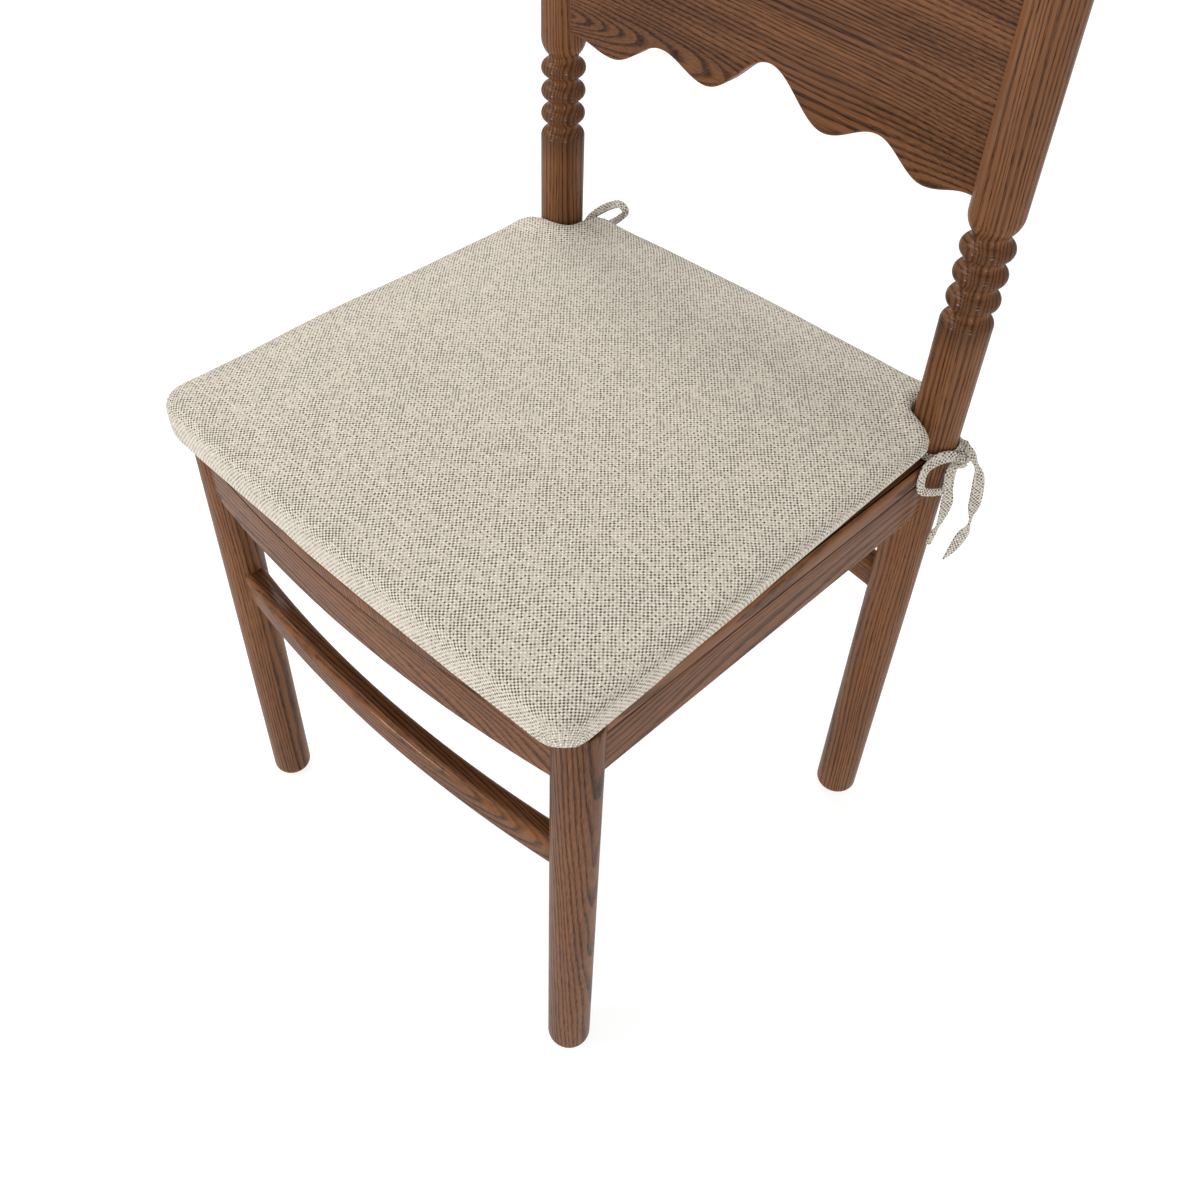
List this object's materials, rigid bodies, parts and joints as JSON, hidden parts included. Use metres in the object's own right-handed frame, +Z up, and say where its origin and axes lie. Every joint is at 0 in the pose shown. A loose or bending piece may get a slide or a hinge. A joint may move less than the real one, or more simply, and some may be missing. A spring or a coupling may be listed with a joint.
{
  "type": "side chair",
  "caption": "Side chair with plain round front legs, turned rear posts, bowed rails and stretchers, a scalloped back panel and a tied-on fabric seat pad.",
  "frame": {"origin": "on the floor, midway between the four leg axes, which is the middle of the footprint", "axes": "+Z up; the chair faces -Y, with its back panel at +Y; +X is on the right as seen from the front, and 'left' and 'right' in the node names are as seen from the front, so left is -X"},
  "size_m": [0.5074, 0.4795, 0.9],
  "materials": {
    "stained_wood": "open-grained ring-porous hardwood, brown stain, satin lacquer",
    "raw_wood": "planed hardwood, unfinished",
    "screw_steel": "zinc-plated steel",
    "glide_plastic": "matte dark polyethylene",
    "melange_cloth": "coarse basket weave, cream with dark flecks",
    "tape_cloth": "the pad's cloth, folded and sewn into a narrow tape",
    "foam": "cut polyurethane foam"
  },
  "bodies": {
    "root": {"front_leg_left": "stained_wood", "front_leg_right": "stained_wood", "rear_post_left": "stained_wood", "rear_post_right": "stained_wood", "front_rail": "stained_wood", "rear_rail": "stained_wood", "side_rail_left": "stained_wood", "side_rail_right": "stained_wood", "front_stretcher": "stained_wood", "rear_stretcher": "stained_wood", "seat_board": "stained_wood", "back_panel": "stained_wood", "corner_block_front_left": "raw_wood", "corner_block_front_right": "raw_wood", "corner_block_rear_left": "raw_wood", "corner_block_rear_right": "raw_wood", "front_rail_dowels": "raw_wood", "rear_rail_dowels": "raw_wood", "side_rail_dowels": "raw_wood", "stretcher_dowels": "raw_wood", "back_panel_dowels": "raw_wood", "corner_block_screws": "screw_steel", "seat_board_screws": "screw_steel", "foot_glides": "glide_plastic", "pad_top_cover": "melange_cloth", "pad_base_cloth": "melange_cloth", "pad_foam": "foam", "tie_left_wrap": "tape_cloth", "tie_left_knot": "tape_cloth", "tie_left_loops": "tape_cloth", "tie_left_tails": "tape_cloth", "tie_right_wrap": "tape_cloth", "tie_right_knot": "tape_cloth", "tie_right_loops": "tape_cloth", "tie_right_tails": "tape_cloth"}
  },
  "joints": []
}
